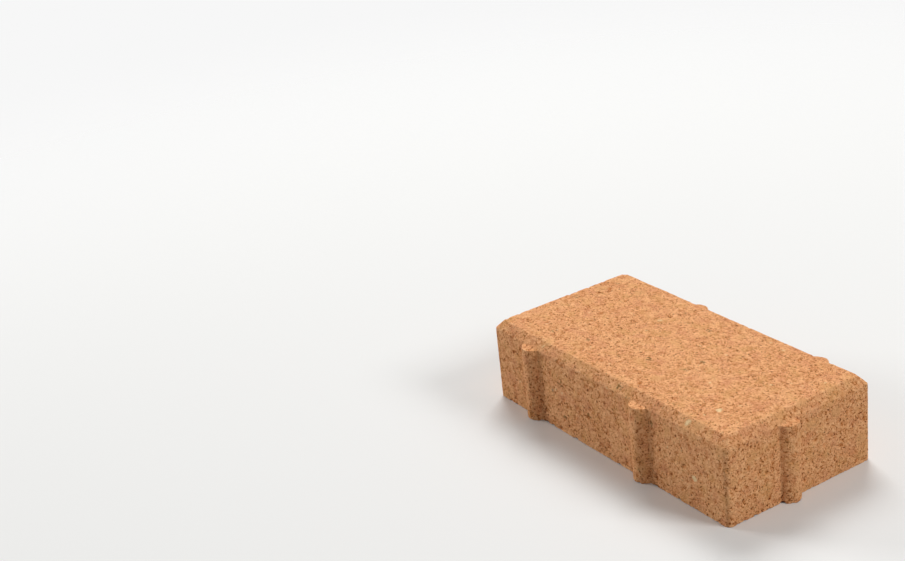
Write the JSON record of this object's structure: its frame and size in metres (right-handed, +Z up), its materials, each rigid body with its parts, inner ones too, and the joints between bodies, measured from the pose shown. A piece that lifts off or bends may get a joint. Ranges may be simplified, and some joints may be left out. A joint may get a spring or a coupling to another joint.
{
  "type": "concrete paving stone",
  "caption": "Rectangular cast concrete paving stone with a bevelled top edge and upright spacer ribs on its sides, laid on sand as paving.",
  "frame": {"origin": "the middle of the bed face, on the ground", "axes": "+X along the length, +Y across the width, +Z up to the top face"},
  "size_m": [0.21, 0.11, 0.05],
  "materials": {
    "concrete": "matt, fine sandy face, orange pigment with dark pits and a few grey and pale grains"
  },
  "bodies": {
    "root": {"paving_stone": "concrete"}
  },
  "joints": []
}
